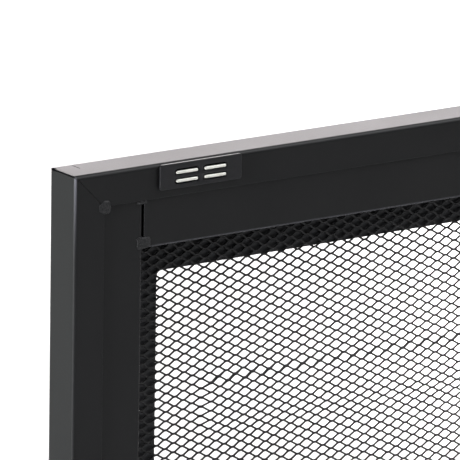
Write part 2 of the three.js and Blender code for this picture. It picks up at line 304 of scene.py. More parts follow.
class Value:
    """A node's output, so that maths on it is written as an expression."""

    def __init__(self, finish, socket):
        self.finish = finish
        self.socket = socket

    def _with(self, operation, first, second):
        return self.finish.node("Math", {"operation": operation}, {0: first, 1: second})

    def __add__(self, other):
        return self._with("ADD", self, other)

    def __radd__(self, other):
        return self._with("ADD", other, self)

    def __sub__(self, other):
        return self._with("SUBTRACT", self, other)

    def __rsub__(self, other):
        return self._with("SUBTRACT", other, self)

    def __mul__(self, other):
        return self._with("MULTIPLY", self, other)

    def __rmul__(self, other):
        return self._with("MULTIPLY", other, self)

    def __abs__(self):
        return self.finish.node("Math", {"operation": "ABSOLUTE"}, {0: self})


FINISH = "finish_"
MIX_INPUTS = (0, 6, 7)  # a colour Mix node's factor and two colours
MIX_OUTPUT = 2


class Finish:
    """A material under construction, with its Principled shader. Its name starts with FINISH, which
    keeps it apart from the frame's own materials."""

    def __init__(self, name):
        self.material = bpy.data.materials.new(FINISH + name)
        self.material.use_nodes = True
        self.tree = self.material.node_tree
        self.shader = self.tree.nodes["Principled BSDF"]
        self.place = self.node("TexCoord", output="Object")

    def axis(self, name):
        """The place on the surface along X, Y or Z."""
        return self.node("SeparateXYZ", inputs={"Vector": self.place}, output=name)

    def node(self, kind, settings=None, inputs=None, output=0):
        """Adds a node, sets it up, gives its inputs values or links, and returns an output."""
        made = self.tree.nodes.new("ShaderNode" + kind)
        for name, value in (settings or {}).items():
            setattr(made, name, value)
        for name, value in (inputs or {}).items():
            self._feed(made.inputs[name], value)
        return Value(self, made.outputs[output])

    def set(self, **inputs):
        """Feeds the shader's inputs, named with underscores for spaces."""
        for name, value in inputs.items():
            self._feed(self.shader.inputs[name.replace("_", " ")], value)

    def noise(self, size, detail=2, stretch=(1, 1, 1)):
        """Noise from 0 to 1 whose lumps are about size metres across, times stretch."""
        scale = [1 / (size * factor) for factor in stretch]
        placed = self.node("Mapping", inputs={"Vector": self.place, "Scale": scale})
        return self.node("TexNoise", inputs={"Vector": placed, "Scale": 1, "Detail": detail})

    def ramp(self, value, low, high):
        """0 where value is below low, 1 where it is above high, and a straight slope between."""
        return self.node(
            "MapRange", {"clamp": True}, {"Value": value, "From Min": low, "From Max": high}
        )

    def mix(self, amount, first, second):
        """The first colour where amount is 0 and the second where it is 1."""
        colours = [value if isinstance(value, Value) else (*value, 1) for value in (first, second)]
        inputs = dict(zip(MIX_INPUTS, (amount, *colours)))
        return self.node("Mix", {"data_type": "RGBA"}, inputs, output=MIX_OUTPUT)

    def bump(self, height, depth, under=None):
        """A normal that stands for a relief of height (0 to 1) times depth metres."""
        inputs = {"Height": height, "Distance": depth, "Strength": 1}
        if under:
            inputs["Normal"] = under
        return self.node("Bump", inputs=inputs)

    def _feed(self, socket, value):
        if isinstance(value, Value):
            self.tree.links.new(value.socket, socket)
        else:
            socket.default_value = value


# ---- Finishes ------------------------------------------------------------------------------------

HIGHLIGHT_FROM = 46 * MM  # how far below the top the painted highlight on the upright folds starts, and where it is full
HIGHLIGHT_FULL = 3 * MM
CREST_HIGHLIGHT = 0.45  # how strongly the painted highlight shows on the crest of the long strips' inner folds


def powder_coat(colours):
    """Satin black powder: a fine orange peel, a slow ripple in the sheet, and thinner paler spots.
    On the face's inner side, behind the panel, a pale grey is painted in as fill light for that
    shaded place. A painted highlight lies on the upright folds near the top, growing with the
    square of the height, and another painted highlight lies on the crest of the two long strips'
    inner folds."""
    finish = Finish("powder_coat")
    peel = finish.noise(0.9 * MM, detail=3)
    patches = finish.noise(60 * MM)
    ripple = finish.noise(45 * MM, detail=1)
    specks = finish.ramp(finish.noise(0.5 * MM, detail=1), 0.62, 0.78)
    thin = finish.ramp(patches, 0.35, 0.7) * 0.6 + specks * 0.4
    coat = finish.mix(thin, colours.coat, colours.coat_light)
    across, depth, height = abs(finish.axis("X")), finish.axis("Y"), finish.axis("Z")
    # Painted fill light: the face's inner side, shaded behind the panel, takes a pale grey.
    inner = finish.ramp(depth, FRONT + 0.4 * MM, FRONT + 0.9 * MM)
    inner = inner * (1 - finish.ramp(depth, FRONT + 1.4 * MM, FRONT + 1.8 * MM))
    # Painted highlight on the upright folds near the top, growing with the square of the height.
    fold = finish.ramp(across, WIDTH / 2 - 1.4 * MM, WIDTH / 2 - 0.5 * MM)
    fold = fold * finish.ramp(depth, BACK - 1.3 * MM, BACK - 0.4 * MM)
    top_highlight = finish.ramp(height, HEIGHT - HIGHLIGHT_FROM, HEIGHT - HIGHLIGHT_FULL)
    coat = finish.mix(fold * top_highlight * top_highlight, coat, colours.wear_and_painted_highlight)
    # Painted highlight along the crest of the two long strips' inner folds.
    strip_low, strip_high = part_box("top_retainer")
    edge, face = strip_low.z - HEIGHT / 2, strip_high.y
    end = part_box("right_retainer")[0].x
    crest = 1 - finish.ramp(abs(height - HEIGHT / 2), edge + 0.4 * MM, edge + 1.3 * MM)
    crest = crest * finish.ramp(depth, face - 1.3 * MM, face - 0.4 * MM)
    crest = crest * (1 - finish.ramp(across, end - 0.6 * MM, end - 0.3 * MM))
    coat = finish.mix(crest * CREST_HIGHLIGHT, coat, colours.wear_and_painted_highlight)
    finish.set(
        Base_Color=finish.mix(inner, coat, colours.inside),
        Roughness=0.40 + patches * 0.10 + specks * 0.08,
        IOR=1.33,
        Normal=finish.bump(peel, 0.035 * MM, finish.bump(ripple, 0.12 * MM)),
    )
    return finish.material


def weld_coat(colours):
    """The same powder over a weld: coarser and lumpier."""
    finish = Finish("weld_coat")
    lumps = finish.noise(0.9 * MM, detail=4)
    thin = finish.ramp(lumps, 0.4, 0.6)
    finish.set(
        Base_Color=finish.mix(thin, colours.coat, colours.weld),
        Roughness=0.36 + lumps * 0.16,
        IOR=1.4,
        Normal=finish.bump(lumps, 0.6 * MM),
    )
    return finish.material


def mesh_coat(colours):
    """Black coat on the strands: duller, with dust gathered in patches."""
    finish = Finish("mesh_coat")
    grain = finish.noise(0.6 * MM, detail=3)
    dust = finish.ramp(finish.noise(18 * MM, detail=4), 0.45, 0.75)
    finish.set(
        Base_Color=finish.mix(dust * 0.7 + grain * 0.3, colours.mesh, colours.mesh_light),
        Roughness=0.42 + grain * 0.16,
        IOR=1.33,
        Normal=finish.bump(grain, 0.05 * MM),
    )
    return finish.material


def catch_plastic(colours):
    """Moulded plastic with a fine spark-eroded grain and faint flow marks."""
    finish = Finish("catch_plastic")
    grain = finish.noise(0.25 * MM, detail=3)
    flow = finish.noise(7 * MM, detail=2, stretch=(3, 1, 1))
    pale = tuple(channel * 1.35 for channel in colours.plastic)
    finish.set(
        Base_Color=finish.mix(flow * 0.6 + grain * 0.4, colours.plastic, pale),
        Roughness=0.30 + flow * 0.12,
        IOR=1.36,
        Normal=finish.bump(grain, 0.02 * MM),
    )
    return finish.material


def zinc_plate(colours):
    """Bright zinc on the tip, with fine lines along it and duller blotches. Behind the tip, inside
    the housing, the plate is dark with oxide: the change comes about 1 mm behind the tip."""
    finish = Finish("zinc_plate")
    lines = finish.noise(0.12 * MM, detail=2, stretch=(40, 1, 1))
    blotches = finish.ramp(finish.noise(2.5 * MM, detail=3), 0.35, 0.75)
    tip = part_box("right_catch_outer_upper_pole")[1].y
    wear_and_painted_highlight = finish.ramp(finish.axis("Y"), tip - 1.1 * MM, tip - 0.7 * MM)
    bright = finish.mix(blotches, colours.zinc, colours.zinc_dark)
    finish.set(
        Base_Color=finish.mix(wear_and_painted_highlight, colours.oxide, bright),
        Metallic=1,
        Roughness=0.50 + lines * 0.18 + blotches * 0.08,
        Normal=finish.bump(lines, 0.015 * MM),
    )
    return finish.material


def sintered_ferrite(colours):
    """Dark, matt and slightly granular."""
    finish = Finish("sintered_ferrite")
    grain = finish.noise(0.4 * MM, detail=4)
    pale = tuple(channel * 1.6 for channel in colours.ferrite)
    finish.set(
        Base_Color=finish.mix(grain, colours.ferrite, pale),
        Roughness=0.68 + grain * 0.2,
        Normal=finish.bump(grain, 0.04 * MM),
    )
    return finish.material


def studio_floor(colours):
    """Pale matt floor with a hint of unevenness."""
    finish = Finish("studio_floor")
    cloud = finish.noise(0.4, detail=3)
    darker = tuple(channel * 0.97 for channel in colours.floor)
    finish.set(
        Base_Color=finish.mix(cloud, colours.floor, darker),
        Roughness=0.85 + cloud * 0.1,
    )
    return finish.material


def finish_for(make):
    """The material that one of the functions above makes, made once and then shared."""
    made = bpy.data.materials.get(FINISH + make.__name__)
    return made or make(bpy.context.scene.fire_screen.colours)


# ---- Surfaces ------------------------------------------------------------------------------------


class Surface:
    """Grids of points that are joined into one mesh."""

    def __init__(self):
        self.points = []
        self.quads = []
        self.count = 0

    def add(self, points):
        """Keeps an array of points and returns their numbers, in the array's own shape."""
        shape = points.shape[:-1]
        numbers = self.count + np.arange(np.prod(shape)).reshape(shape)
        self.points.append(points.reshape(-1, 3))
        self.count += numbers.size
        return numbers

    def cover(self, numbers, closed=False, keep=None):
        """A quad between each four neighbours in a grid of point numbers, round again if closed."""
        if closed:
            numbers = np.hstack([numbers, numbers[:, :1]])
        near, far = numbers[:-1], numbers[1:]
        quads = np.stack([near[:, :-1], near[:, 1:], far[:, 1:], far[:, :-1]], axis=-1)
        self.join(quads if keep is None else quads[keep])

    def join(self, quads):
        """Adds quads given as an array of four point numbers each."""
        self.quads.append(quads.reshape(-1, 4))

    def span(self, *corners):
        """Adds the quads whose first, second, third and fourth corners are given as four arrays."""
        self.join(np.stack(corners, axis=-1))

    def object(self, name, make_material, smooth=True, join_within=2e-6):
        """The finished object: points that coincide are merged and the faces turned outwards."""
        points = np.concatenate(self.points)
        quads = np.concatenate(self.quads)
        used, quads = np.unique(quads, return_inverse=True)
        mesh = bpy.data.meshes.new(name)
        mesh.vertices.add(used.size)
        mesh.vertices.foreach_set("co", points[used].astype(np.float32).ravel())
        corners = quads.reshape(-1, 4)
        mesh.loops.add(corners.size)
        mesh.loops.foreach_set("vertex_index", corners.astype(np.int32).ravel())
        mesh.polygons.add(len(corners))
        mesh.polygons.foreach_set("loop_start", np.arange(0, corners.size, 4, dtype=np.int32))
        mesh.update(calc_edges=True)
        if join_within:
            close_up(mesh, join_within)
        mesh.materials.append(finish_for(make_material))
        piece = bpy.data.objects.new(name, mesh)
        bpy.context.collection.objects.link(piece)
        if smooth:
            shade_folds(piece)
        return piece


def close_up(mesh, distance):
    """Merges points closer than distance and turns every face outwards."""
    work = bmesh.new()
    work.from_mesh(mesh)
    bmesh.ops.remove_doubles(work, verts=work.verts, dist=distance)
    bmesh.ops.recalc_face_normals(work, faces=work.faces)
    work.to_mesh(mesh)
    work.free()


def shade_folds(piece, sharpest=50):
    """Smooth shading across folds, with flat faces kept flat up to their edges."""
    piece.data.shade_smooth()
    piece.data.set_sharp_from_angle(angle=math.radians(sharpest))
    weighted = piece.modifiers.new("flat_faces", "WEIGHTED_NORMAL")
    weighted.keep_sharp = True


def settle(piece, body, slot, *nodes):
    """The piece rides on its body and stands for its nodes. The slot is not used."""
    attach(piece, body)
    if nodes:
        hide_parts(*nodes)


def on_side(side, along, inset, depth):
    """World points on one side of the frame: along it from its first corner, inset from its outer
    edge, and depth in Y. The sides follow each other clockwise as seen from the room, top first."""
    angle = -QUARTER * side
    forward = np.array([math.cos(angle), math.sin(angle)])
    inward = np.array([forward[1], -forward[0]])
    size = np.array([WIDTH, HEIGHT])
    reach = np.abs(size @ forward) * forward + np.abs(size @ inward) * inward
    corner = np.array([0, HEIGHT / 2]) - reach / 2
    flat = corner + along[..., None] * forward + inset[..., None] * inward
    return np.stack([flat[..., 0], depth, flat[..., 1]], axis=-1)


def smooth_step(value, start, end):
    """0 before start and 1 after end, with a smooth S between."""
    t = np.clip((value - start) / (end - start), 0, 1)
    return t * t * (3 - 2 * t)


def side_length(side):
    """Length of one side of the frame."""
    return HEIGHT if side % 2 else WIDTH


# ---- Folded strips -------------------------------------------------------------------------------

FOLD_TURNS = np.radians([0, 15, 30, 45, 60, 75, 90])
EDGE_TURNS = np.radians([90, 60, 30, 0])


class Section:
    """The middle line of a sheet folded twice into a C, with its outward normals and half
    thickness. A rounded free edge is a quarter circle: the half thickness shrinks towards it."""

    def __init__(self, ends, wall, levels, sizes, edge, stops):
        """ends: insets of the two free edges. wall: inset of the wall's outer face. levels: Y of
        the legs' outer faces. sizes: sheet thickness and fold radius. stops: extra places on the
        first leg (inset), the wall (Y) and the second leg (inset)."""
        sheet, radius = sizes
        half = sheet / 2
        out = np.sign(wall - ends[0])
        up = np.sign(levels[0] - levels[1])
        taper = edge * (1 - np.sin(EDGE_TURNS))
        thin = half - edge * (1 - np.cos(EDGE_TURNS))
        legs = []
        faces = (up, -up)
        for end, level, face, places in zip(ends, levels, faces, (stops[0], stops[2])):
            insets = np.concatenate([end + out * taper, places])
            legs.append((insets, np.full(insets.size, level - face * half), face))
        first, last = legs
        walls = np.asarray(stops[1])
        bends = []
        for turns, level, face in zip((FOLD_TURNS, FOLD_TURNS + QUARTER), levels, faces):
            normal = np.stack([out * np.sin(turns), up * np.cos(turns)], axis=-1)
            centre = np.array([wall - out * radius, level - face * radius])
            bends.append((centre + (radius - half) * normal, normal))
        straight = np.stack([np.full(walls.size, wall - out * half), walls], axis=-1)
        self.middle = np.concatenate(
            [
                np.stack(first[:2], axis=-1),
                bends[0][0],
                straight,
                bends[1][0],
                np.stack(last[:2], axis=-1)[::-1],
            ]
        )
        self.normal = np.concatenate(
            [
                np.tile([0, first[2]], (first[0].size, 1)),
                bends[0][1],
                np.tile([out, 0], (walls.size, 1)),
                bends[1][1],
                np.tile([0, last[2]], (last[0].size, 1)),
            ]
        )
        self.half = np.full(len(self.middle), half)
        self.half[: thin.size] = thin
        self.half[-thin.size :] = thin[::-1]

    def nearest(self, mark):
        """The number of the middle line's point nearest to an (inset, Y) mark."""
        return int(np.argmin(np.linalg.norm(self.middle - mark, axis=1)))

    def repeat(self, marks):
        """Doubles the points nearest to the given (inset, Y) marks, in order, and returns the zone
        of each point: how many marks it lies past."""
        found = [self.nearest(mark) for mark in marks]
        times = np.ones(len(self.middle), int)
        times[found] = 2
        second = np.zeros(times.sum(), int)
        second[[place + 1 + order for order, place in enumerate(sorted(found))]] = 1
        for name in ("middle", "normal", "half"):
            setattr(self, name, np.repeat(getattr(self, name), times, axis=0))
        return np.cumsum(second)

    def outline(self, shrink=0.0):
        """The closed outline as (inset, Y): along one face of the sheet, back along the other."""
        offset = self.normal * (self.half - shrink)[:, None]
        return np.concatenate([self.middle + offset, (self.middle - offset)[::-1]])


def both_faces(values):
    """Values on the middle line, carried to both faces of the outline."""
    return np.concatenate([values, values[::-1]])


def cap_ends(surface, numbers, places):
    """Closes the first and last ring of a strip with quads between the sheet's two faces, at the
    places of the middle line that are marked."""
    count = numbers.shape[1] // 2
    for ring in (numbers[0], numbers[-1]):
        pairs = np.stack([ring[:count], ring[::-1][:count]])
        surface.cover(pairs, keep=(slice(None), places[:-1] & places[1:]))


# ---- Front pan -----------------------------------------------------------------------------------


SLIT_AT = (2, 3)  # the stations between which the slit and the catch's opening lie
CATCH_AT = (4, 7)
WALL_ZONE = 2
PAST_FOLD = 1.05  # clear of the fold's end, in fold radii
FLANGE_SHARES = np.array([[0.35], [0.7]])  # the slit's stations on the flange, up to the opening
CORNER_TURNS = np.radians([45, 45, 54, 63, 72, 81, 90])[:, None]  # round the window's corner


def pan_section(size):
    """The pan's section and the zone of each point: face and fold, corner slot, wall, flange's
    mitre, relief hole."""
    catch_top, catch_bottom = catch_opening_insets()
    hole_from = size.relief_inset - size.relief
    hole_places = np.linspace(hole_from, size.flange - size.edge, 5)[:-1]
    section = Section(
        ends=(size.border, size.flange),
        wall=0,
        levels=(FRONT, BACK),
        sizes=(size.sheet, size.fold),
        edge=size.edge,
        stops=(
            [],
            FRONT + np.array([size.slit_from, size.slot_to, size.slit_to]),
            np.concatenate([hole_places[::-1], [catch_bottom, catch_top]]),
        ),
    )
    half = size.sheet / 2
    bend = FOLD_TURNS[-2]
    radius = size.fold - half
    slot_mark = (
        size.fold - radius * math.sin(bend),
        FRONT + size.fold - radius * math.cos(bend),
    )
    diagonal = size.fold - radius * math.cos(QUARTER / 2)
    mitre_mark = (diagonal, BACK - diagonal)
    marks = [slot_mark, (half, FRONT + size.slot_to), mitre_mark, (hole_from, BACK - half)]
    return section, section.repeat(marks)


def cut_bevel(size, zones):
    """The bevel of the sheet's cut end in each zone; the joined face has none."""
    return np.choose(zones, [0, size.edge, size.edge, size.mitre_edge, size.edge])


def catch_opening_insets():
    """Insets of the upper and lower edge of the opening in the flange for a catch's body."""
    size = bpy.context.scene.fire_screen.catch
    centre = HEIGHT - pack_middle("right", "outer").z
    half = size.body_z / 2 + size.slot_play
    return centre - half, centre + half


def pan_stations(size, section, zone, side):
    """Along and inset of every outline point at every station of one side. The ends follow the
    mitre, set back by the zone's gap; the window's corner is a quarter circle about (bend, bend),
    so along = bend - (bend - inset) cos(t) and inset = bend - (bend - inset) sin(t)."""
    outline = section.outline()
    inset = outline[:, 0]
    zones = both_faces(zone)
    bend = size.border + size.window_radius
    reach = np.sqrt(np.maximum(size.relief**2 - (inset - size.relief_inset) ** 2, 0))
    span = side_length(side)
    wall_gap = size.wall_gap if side % 2 else size.mitre
    mitres = [inset + wall_gap, inset + size.mitre]
    ends = [inset, np.maximum(inset, size.slot_reach), *mitres, size.relief_inset + reach]
    start = np.choose(zones, ends)
    first = start + cut_bevel(size, zones)
    catch_from, catch_to = catch_opening_span(bpy.context.scene.fire_screen.catch)
    slit = size.slit_inset + np.array([-0.5, 0.5]) * size.slit_width
    places = np.array([*slit, catch_from, (catch_from + bend) / 2, bend, catch_to])
    along = np.concatenate([[start, first], np.tile(places[:, None], inset.size)])
    insets = np.tile(inset, (len(along), 1))
    on_flange = (inset > size.fold * PAST_FOLD) & (zones >= WALL_ZONE)
    along[2:4, on_flange] = (first + FLANGE_SHARES * (catch_from - first))[:, on_flange]
    on_edge = (inset > size.border / 2) & (zones == 0)
    away = bend - inset[on_edge]
    count = len(CORNER_TURNS)
    along[:count, on_edge] = bend - away * np.cos(CORNER_TURNS)
    insets[:count, on_edge] = bend - away * np.sin(CORNER_TURNS)
    along = np.concatenate([along, np.full((1, inset.size), span / 2), span - along[::-1]])
    insets = np.concatenate([insets, inset[None], insets[::-1]])
    return along, insets


def catch_opening_span(size):
    """How far along the top the opening for a catch's body starts and ends."""
    centre = WIDTH / 2 - abs(middle("right_catch_cover").x)
    half = size.body_x / 2 + size.slot_play
    return centre - half, centre + half


def stretch_window(size, points):
    """Moves the window's edges by the window's stretch. A point's move fades in with a smooth step
    over its distance from the frame's outer edge, so the flange and the folds stay in place."""
    stretch_x, stretch_z = size.window_stretch
    for axis, span, centre, stretch in (
        (0, WIDTH, 0, stretch_x),
        (2, HEIGHT, HEIGHT / 2, stretch_z),
    ):
        offset = points[..., axis] - centre
        fade = smooth_step(span / 2 - np.abs(offset), size.flange * 1.5, size.border)
        points[..., axis] -= np.sign(offset) * fade * stretch


def cut_window(surface, numbers, keep, stations, places):
    """Leaves out the faces of both sides of the sheet between two stations and two places of the
    middle line, and adds the opening's four edges."""
    (near, far), (low, high) = stations, places
    last = numbers.shape[1] - 1
    keep[near:far, low:high] = False
    keep[near:far, last - high : last - low] = False
    outer, inner = numbers, numbers[:, ::-1]
    for station in (near, far):
        surface.cover(np.stack([outer[station, low : high + 1], inner[station, low : high + 1]]))
    for place in (low, high):
        surface.cover(np.stack([outer[near : far + 1, place], inner[near : far + 1, place]]))


def fold_pan(size):
    """The folded frame: its section carried along four sides that meet in mitres. The face is
    joined at the mitres; the walls and flanges stop short of them and are closed by end faces."""
    surface = Surface()
    section, zone = pan_section(size)
    outline = section.outline()
    cut_outline = section.outline(cut_bevel(size, zone))
    half = size.sheet / 2
    slit_places = [section.nearest((half, FRONT + y)) for y in (size.slit_from, size.slit_to)]
    catch_places = sorted(section.nearest((i, BACK - half)) for i in catch_opening_insets())
    for side in range(len(SIDES)):
        along, inset = pan_stations(size, section, zone, side)
        depth = np.tile(outline[:, 1], (len(along), 1))
        for end in (0, -1):
            shift = cut_outline - outline
            inset[end] += shift[:, 0]
            depth[end] += shift[:, 1]
        points = on_side(side, along, inset, depth)
        stretch_window(size, points)
        numbers = surface.add(points)
        keep = np.ones((len(along) - 1, outline.shape[0]), bool)
        if SIDES[side] == "top":
            last = len(along) - 1
            for (near, far), places in ((SLIT_AT, slit_places), (CATCH_AT, catch_places)):
                cut_window(surface, numbers, keep, (near, far), places)
                cut_window(surface, numbers, keep, (last - far, last - near), places)
        surface.cover(numbers, closed=True, keep=keep)
        cap_ends(surface, numbers, zone > 0)
    return surface.object("front_pan_folded", powder_coat)


class FIRE_SCREEN_OT_pan(bpy.types.Operator):
    """Folds the frame: face, walls and return flange in one sheet"""

    bl_idname = "fire_screen.pan"
    bl_label = "Front pan"

    def execute(self, context):
        settle(fold_pan(context.scene.fire_screen.pan), "frame", "frame_coat", "front_pan")
        return {"FINISHED"}


# ---- Retainers -----------------------------------------------------------------------------------


def fold_retainer(side, pan, size):
    """One C strip: its section carried straight along a side, with slightly rounded cut ends."""
    name = SIDES[side] + "_retainer"
    low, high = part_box(name)
    if side % 2:
        outer, inner = sorted(WIDTH / 2 - abs(x) for x in (low.x, high.x))
        ends = (low.z, high.z)
    else:
        outer, inner = sorted(HEIGHT / 2 - abs(z - HEIGHT / 2) for z in (low.z, high.z))
        ends = (WIDTH / 2 + low.x, WIDTH / 2 + high.x)
    section = Section(
        ends=(outer, inner - size.foot),
        wall=inner,
        levels=(high.y, low.y),
        sizes=(pan.sheet, size.fold),
        edge=pan.edge,
        stops=([], [], []),
    )
    rings = np.stack([section.outline(pan.edge * shrunk) for shrunk in (1, 0, 0, 1)])
    places = np.array([ends[0], ends[0] + pan.edge, ends[1] - pan.edge, ends[1]])
    along = np.tile(places[:, None], rings.shape[1])
    surface = Surface()
    numbers = surface.add(on_side(side, along, rings[..., 0], rings[..., 1]))
    surface.cover(numbers, closed=True)
    cap_ends(surface, numbers, np.ones(len(section.middle), bool))
    return surface.object(name + "_folded", powder_coat)


class FIRE_SCREEN_OT_retainers(bpy.types.Operator):
    """Folds the four strips that hold the panel against the frame's face"""

    bl_idname = "fire_screen.retainers"
    bl_label = "Retainers"

    def execute(self, context):
        settings = context.scene.fire_screen
        for side, name in enumerate(SIDES):
            strip = fold_retainer(side, settings.pan, settings.retainer)
            settle(strip, "frame", "frame_coat", name + "_retainer")
        return {"FINISHED"}


# ---- Welds ---------------------------------------------------------------------------------------


AROUND_BEAD = np.linspace(0, 2 * math.pi, 49)[:-1]
OVER_BEAD = np.linspace(-QUARTER, QUARTER, 17)[:, None]
WELD_SEED = 3
FLAT_TOP = 0.5


def signed_power(value, exponent):
    """A power of a value's size, with the value's sign."""
    return np.sign(value) * np.abs(value) ** exponent


def bead(surface, centre, size, squareness, rng):
    """A flat weld: a squashed ball whose outline is nearly a rectangle. With u round it and v from
    back to front, x = cos(v)^q |cos u|^p, z = cos(v)^q |sin u|^p and y = sin(v): p below 1 squares
    the outline and q flattens the top. Waves with random phases make it lumpy."""
    around, rise = AROUND_BEAD, OVER_BEAD
    phases = rng.uniform(0, 2 * math.pi, 4)
    waves = 1 + 0.08 * np.sin(3 * around + phases[0]) + 0.05 * np.sin(7 * around + phases[1])
    width = signed_power(np.cos(rise), FLAT_TOP)
    x = width * signed_power(np.cos(around), squareness) * waves
    z = width * signed_power(np.sin(around), squareness) * waves
    lumps = 1 + 0.22 * np.sin(6 * x + phases[2]) * np.cos(5 * z + phases[0])
    lumps = lumps + 0.12 * np.sin(13 * x + phases[3]) * np.sin(11 * z + phases[1])
    ball = np.stack([x, np.sin(rise) * lumps, z], axis=-1)
    points = ball * np.array(size) / 2 + np.array(centre)
    surface.cover(surface.add(points), closed=True)


def weld_corners(size):
    """The welds at each corner: a round one where the flanges meet, a square one across the foot of
    the retainers' butt joint and a small tack at the joint's head."""
    surface = Surface()
    rng = np.random.default_rng(WELD_SEED)
    pan = bpy.context.scene.fire_screen.pan
    low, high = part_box("top_retainer")
    joint_x = (high.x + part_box("right_retainer")[0].x) / 2
    tack_x = joint_x + size.tack[0] * 0.2
    tack_z = HEIGHT - pan.flange - size.tack[2] * 0.3
    spots = (
        (WIDTH / 2 - pan.relief_inset, BACK, HEIGHT - pan.relief_inset, size.plug, 1.0),
        (joint_x, high.y, low.z + size.patch[2] / 2, size.patch, 0.5),
        (tack_x, high.y, tack_z, size.tack, 0.8),
    )
    for hand in (-1, 1):
        for vertical in (-1, 1):
            for x, y, z, extent, squareness in spots:
                place = (hand * x, y, HEIGHT / 2 + vertical * (z - HEIGHT / 2))
                bead(surface, place, extent, squareness, rng)
    return surface.object("corner_welds", weld_coat)


class FIRE_SCREEN_OT_welds(bpy.types.Operator):
    """Lays the small welds that tie the retainers together"""

    bl_idname = "fire_screen.welds"
    bl_label = "Welds"

    def execute(self, context):
        settle(weld_corners(context.scene.fire_screen.retainer), "frame", "frame_coat")
        return {"FINISHED"}


# ---- Expanded metal ------------------------------------------------------------------------------


def panel_relief(size, x, z):
    """How far the panel stands towards the fire at (x, z): each rib is the product of a smooth step
    up, a smooth step down and its ends' steps, a little lower away from its ends. Between the ribs
    the panel sinks by the dish."""
    from_side = WIDTH / 2 - np.abs(x)
    fall = HEIGHT / 2 - np.abs(z - HEIGHT / 2)
    top, bottom = size.rib_fall, size.rib_fall + size.rib_height
    up = smooth_step(fall, top - size.outer_ramp / 2, top + size.outer_ramp / 2)
    down = 1 - smooth_step(fall, bottom - size.inner_ramp / 2, bottom + size.inner_ramp / 2)
    slope = size.outer_ramp / 2
    ends = smooth_step(from_side, size.rib_inset - slope, size.rib_inset + slope)
    sunk = smooth_step(from_side, size.rib_inset, size.rib_inset + size.dish_ramp)
    rib = (size.rib_rise - size.rib_sink * sunk) * up * down * ends
    return rib - size.dish * sunk * (1 - down)


class Lattice:
    """The rows of knots, each half a short pitch below the last and half a long pitch aside, turned
    by the skew. A knot has six points: left tip, upper left, upper right, right tip, lower right
    and lower left, as seen from the fire side, so columns run towards -X."""

    def __init__(self, size):
        self.size = size
        reach = np.array([PANEL_HIGH.x - PANEL_LOW.x, PANEL_HIGH.z - PANEL_LOW.z])
        spare = 2  # rows and columns past each edge
        columns, rows = np.ceil(reach / (size.pitch_x, size.pitch_z)).astype(int) + 2 * spare
        start = WIDTH / 2 - size.first_x, HEIGHT - size.first_z
        before = round((PANEL_HIGH.x - start[0]) / size.pitch_x) + spare
        above = round((PANEL_HIGH.z - start[1]) / size.pitch_z) + spare
        across = np.arange(columns) - before
        down = np.arange(2 * rows) - 2 * above
        self.odd = down % 2
        right = (across + self.odd[:, None] / 2) * size.pitch_x
        below = np.broadcast_to(down[:, None] / 2 * size.pitch_z, right.shape)
        sine, cosine = math.sin(size.skew), math.cos(size.skew)
        self.x = start[0] - (right * cosine - below * sine)
        self.z = start[1] - (right * sine + below * cosine)
        margin = size.knot_half + size.unevenness * 2
        low, high = PANEL_LOW, PANEL_HIGH
        self.kept = (self.x > low.x + margin) & (self.x < high.x - margin)
        self.kept &= (self.z > low.z + margin) & (self.z < high.z - margin)

    def points(self):
        """All the points, as rows, knots, six places, two faces and three coordinates. A knot's top
        leans towards the fire by the twist and its foot leans back by as much. It follows the
        panel's relief as a whole, and the relief's slope only where that stands it up."""
        size = self.size
        rng = np.random.default_rng(size.seed)
        tips = np.array([size.knot_half, size.shoulder, -size.shoulder])
        tips = np.concatenate([tips, -tips])
        rises = size.knot_rise * np.array([0, 1, 1, 0, -1, -1])
        leans = size.twist * np.array([0, 1, 1, 0, -1, -1])
        jitter = rng.normal(0, size.unevenness / 2, (3, *self.x.shape, 1))
        sine, cosine = math.sin(size.skew), math.cos(size.skew)
        x = self.x[..., None] + tips * cosine + rises * sine + jitter[0]
        z = self.z[..., None] + rises * cosine - tips * sine + jitter[1]
        slab_middle = PANEL_LOW.y + size.gauge / 2 + size.twist + size.unevenness
        whole = panel_relief(size, self.x, self.z)[..., None]
        slope = panel_relief(size, x, z) - whole
        relief = whole + size.stand_up * np.where(slope * rises < 0, slope, 0)
        y = slab_middle + leans + jitter[2] + relief
        faces = np.array([1, -1]) * size.gauge / 2
        shape = (*x.shape, 2)
        x, y, z = (np.broadcast_to(values[..., None], shape) for values in (x, y, z))
        return np.stack([x, y + faces, z], axis=-1)

    def neighbours(self, rows, step, aside):
        """For each knot of the given rows, the column of its neighbour one row up (step -1) or down
        (step 1), to the right (aside 1) or left (aside 0), and whether both are kept."""
        columns = np.arange(self.kept.shape[1]) + self.odd[rows, None] + aside - 1
        other = rows + step
        inside = (columns >= 0) & (columns < self.kept.shape[1])
        inside &= ((other >= 0) & (other < len(self.kept)))[:, None]
        columns = columns.clip(0, self.kept.shape[1] - 1)
        other = other.clip(0, len(self.kept) - 1)[:, None]
        return columns, self.kept[rows] & inside & self.kept[other, columns]


LEFT, UPPER_LEFT, UPPER_RIGHT, RIGHT, LOWER_RIGHT, LOWER_LEFT = range(6)


def strands(surface, start, end, sides):
    """Strands between knots: two flat faces and two cut edges each. sides names the points of the
    start knot and of the end knot that each long edge joins."""
    (start_a, end_a), (start_b, end_b) = sides
    for face in (0, 1):
        near, far = start[..., face], end[..., face]
        surface.span(near[:, start_a], near[:, start_b], far[:, end_b], far[:, end_a])
    for here, there in sides:
        near, far = start[:, here], end[:, there]
        surface.span(near[:, 0], far[:, 0], far[:, 1], near[:, 1])


def edge_walls(surface, knots, first, second):
    """The cut edge of each knot between two of its points."""
    near, far = knots[:, first], knots[:, second]
    surface.span(near[:, 0], near[:, 1], far[:, 1], far[:, 0])


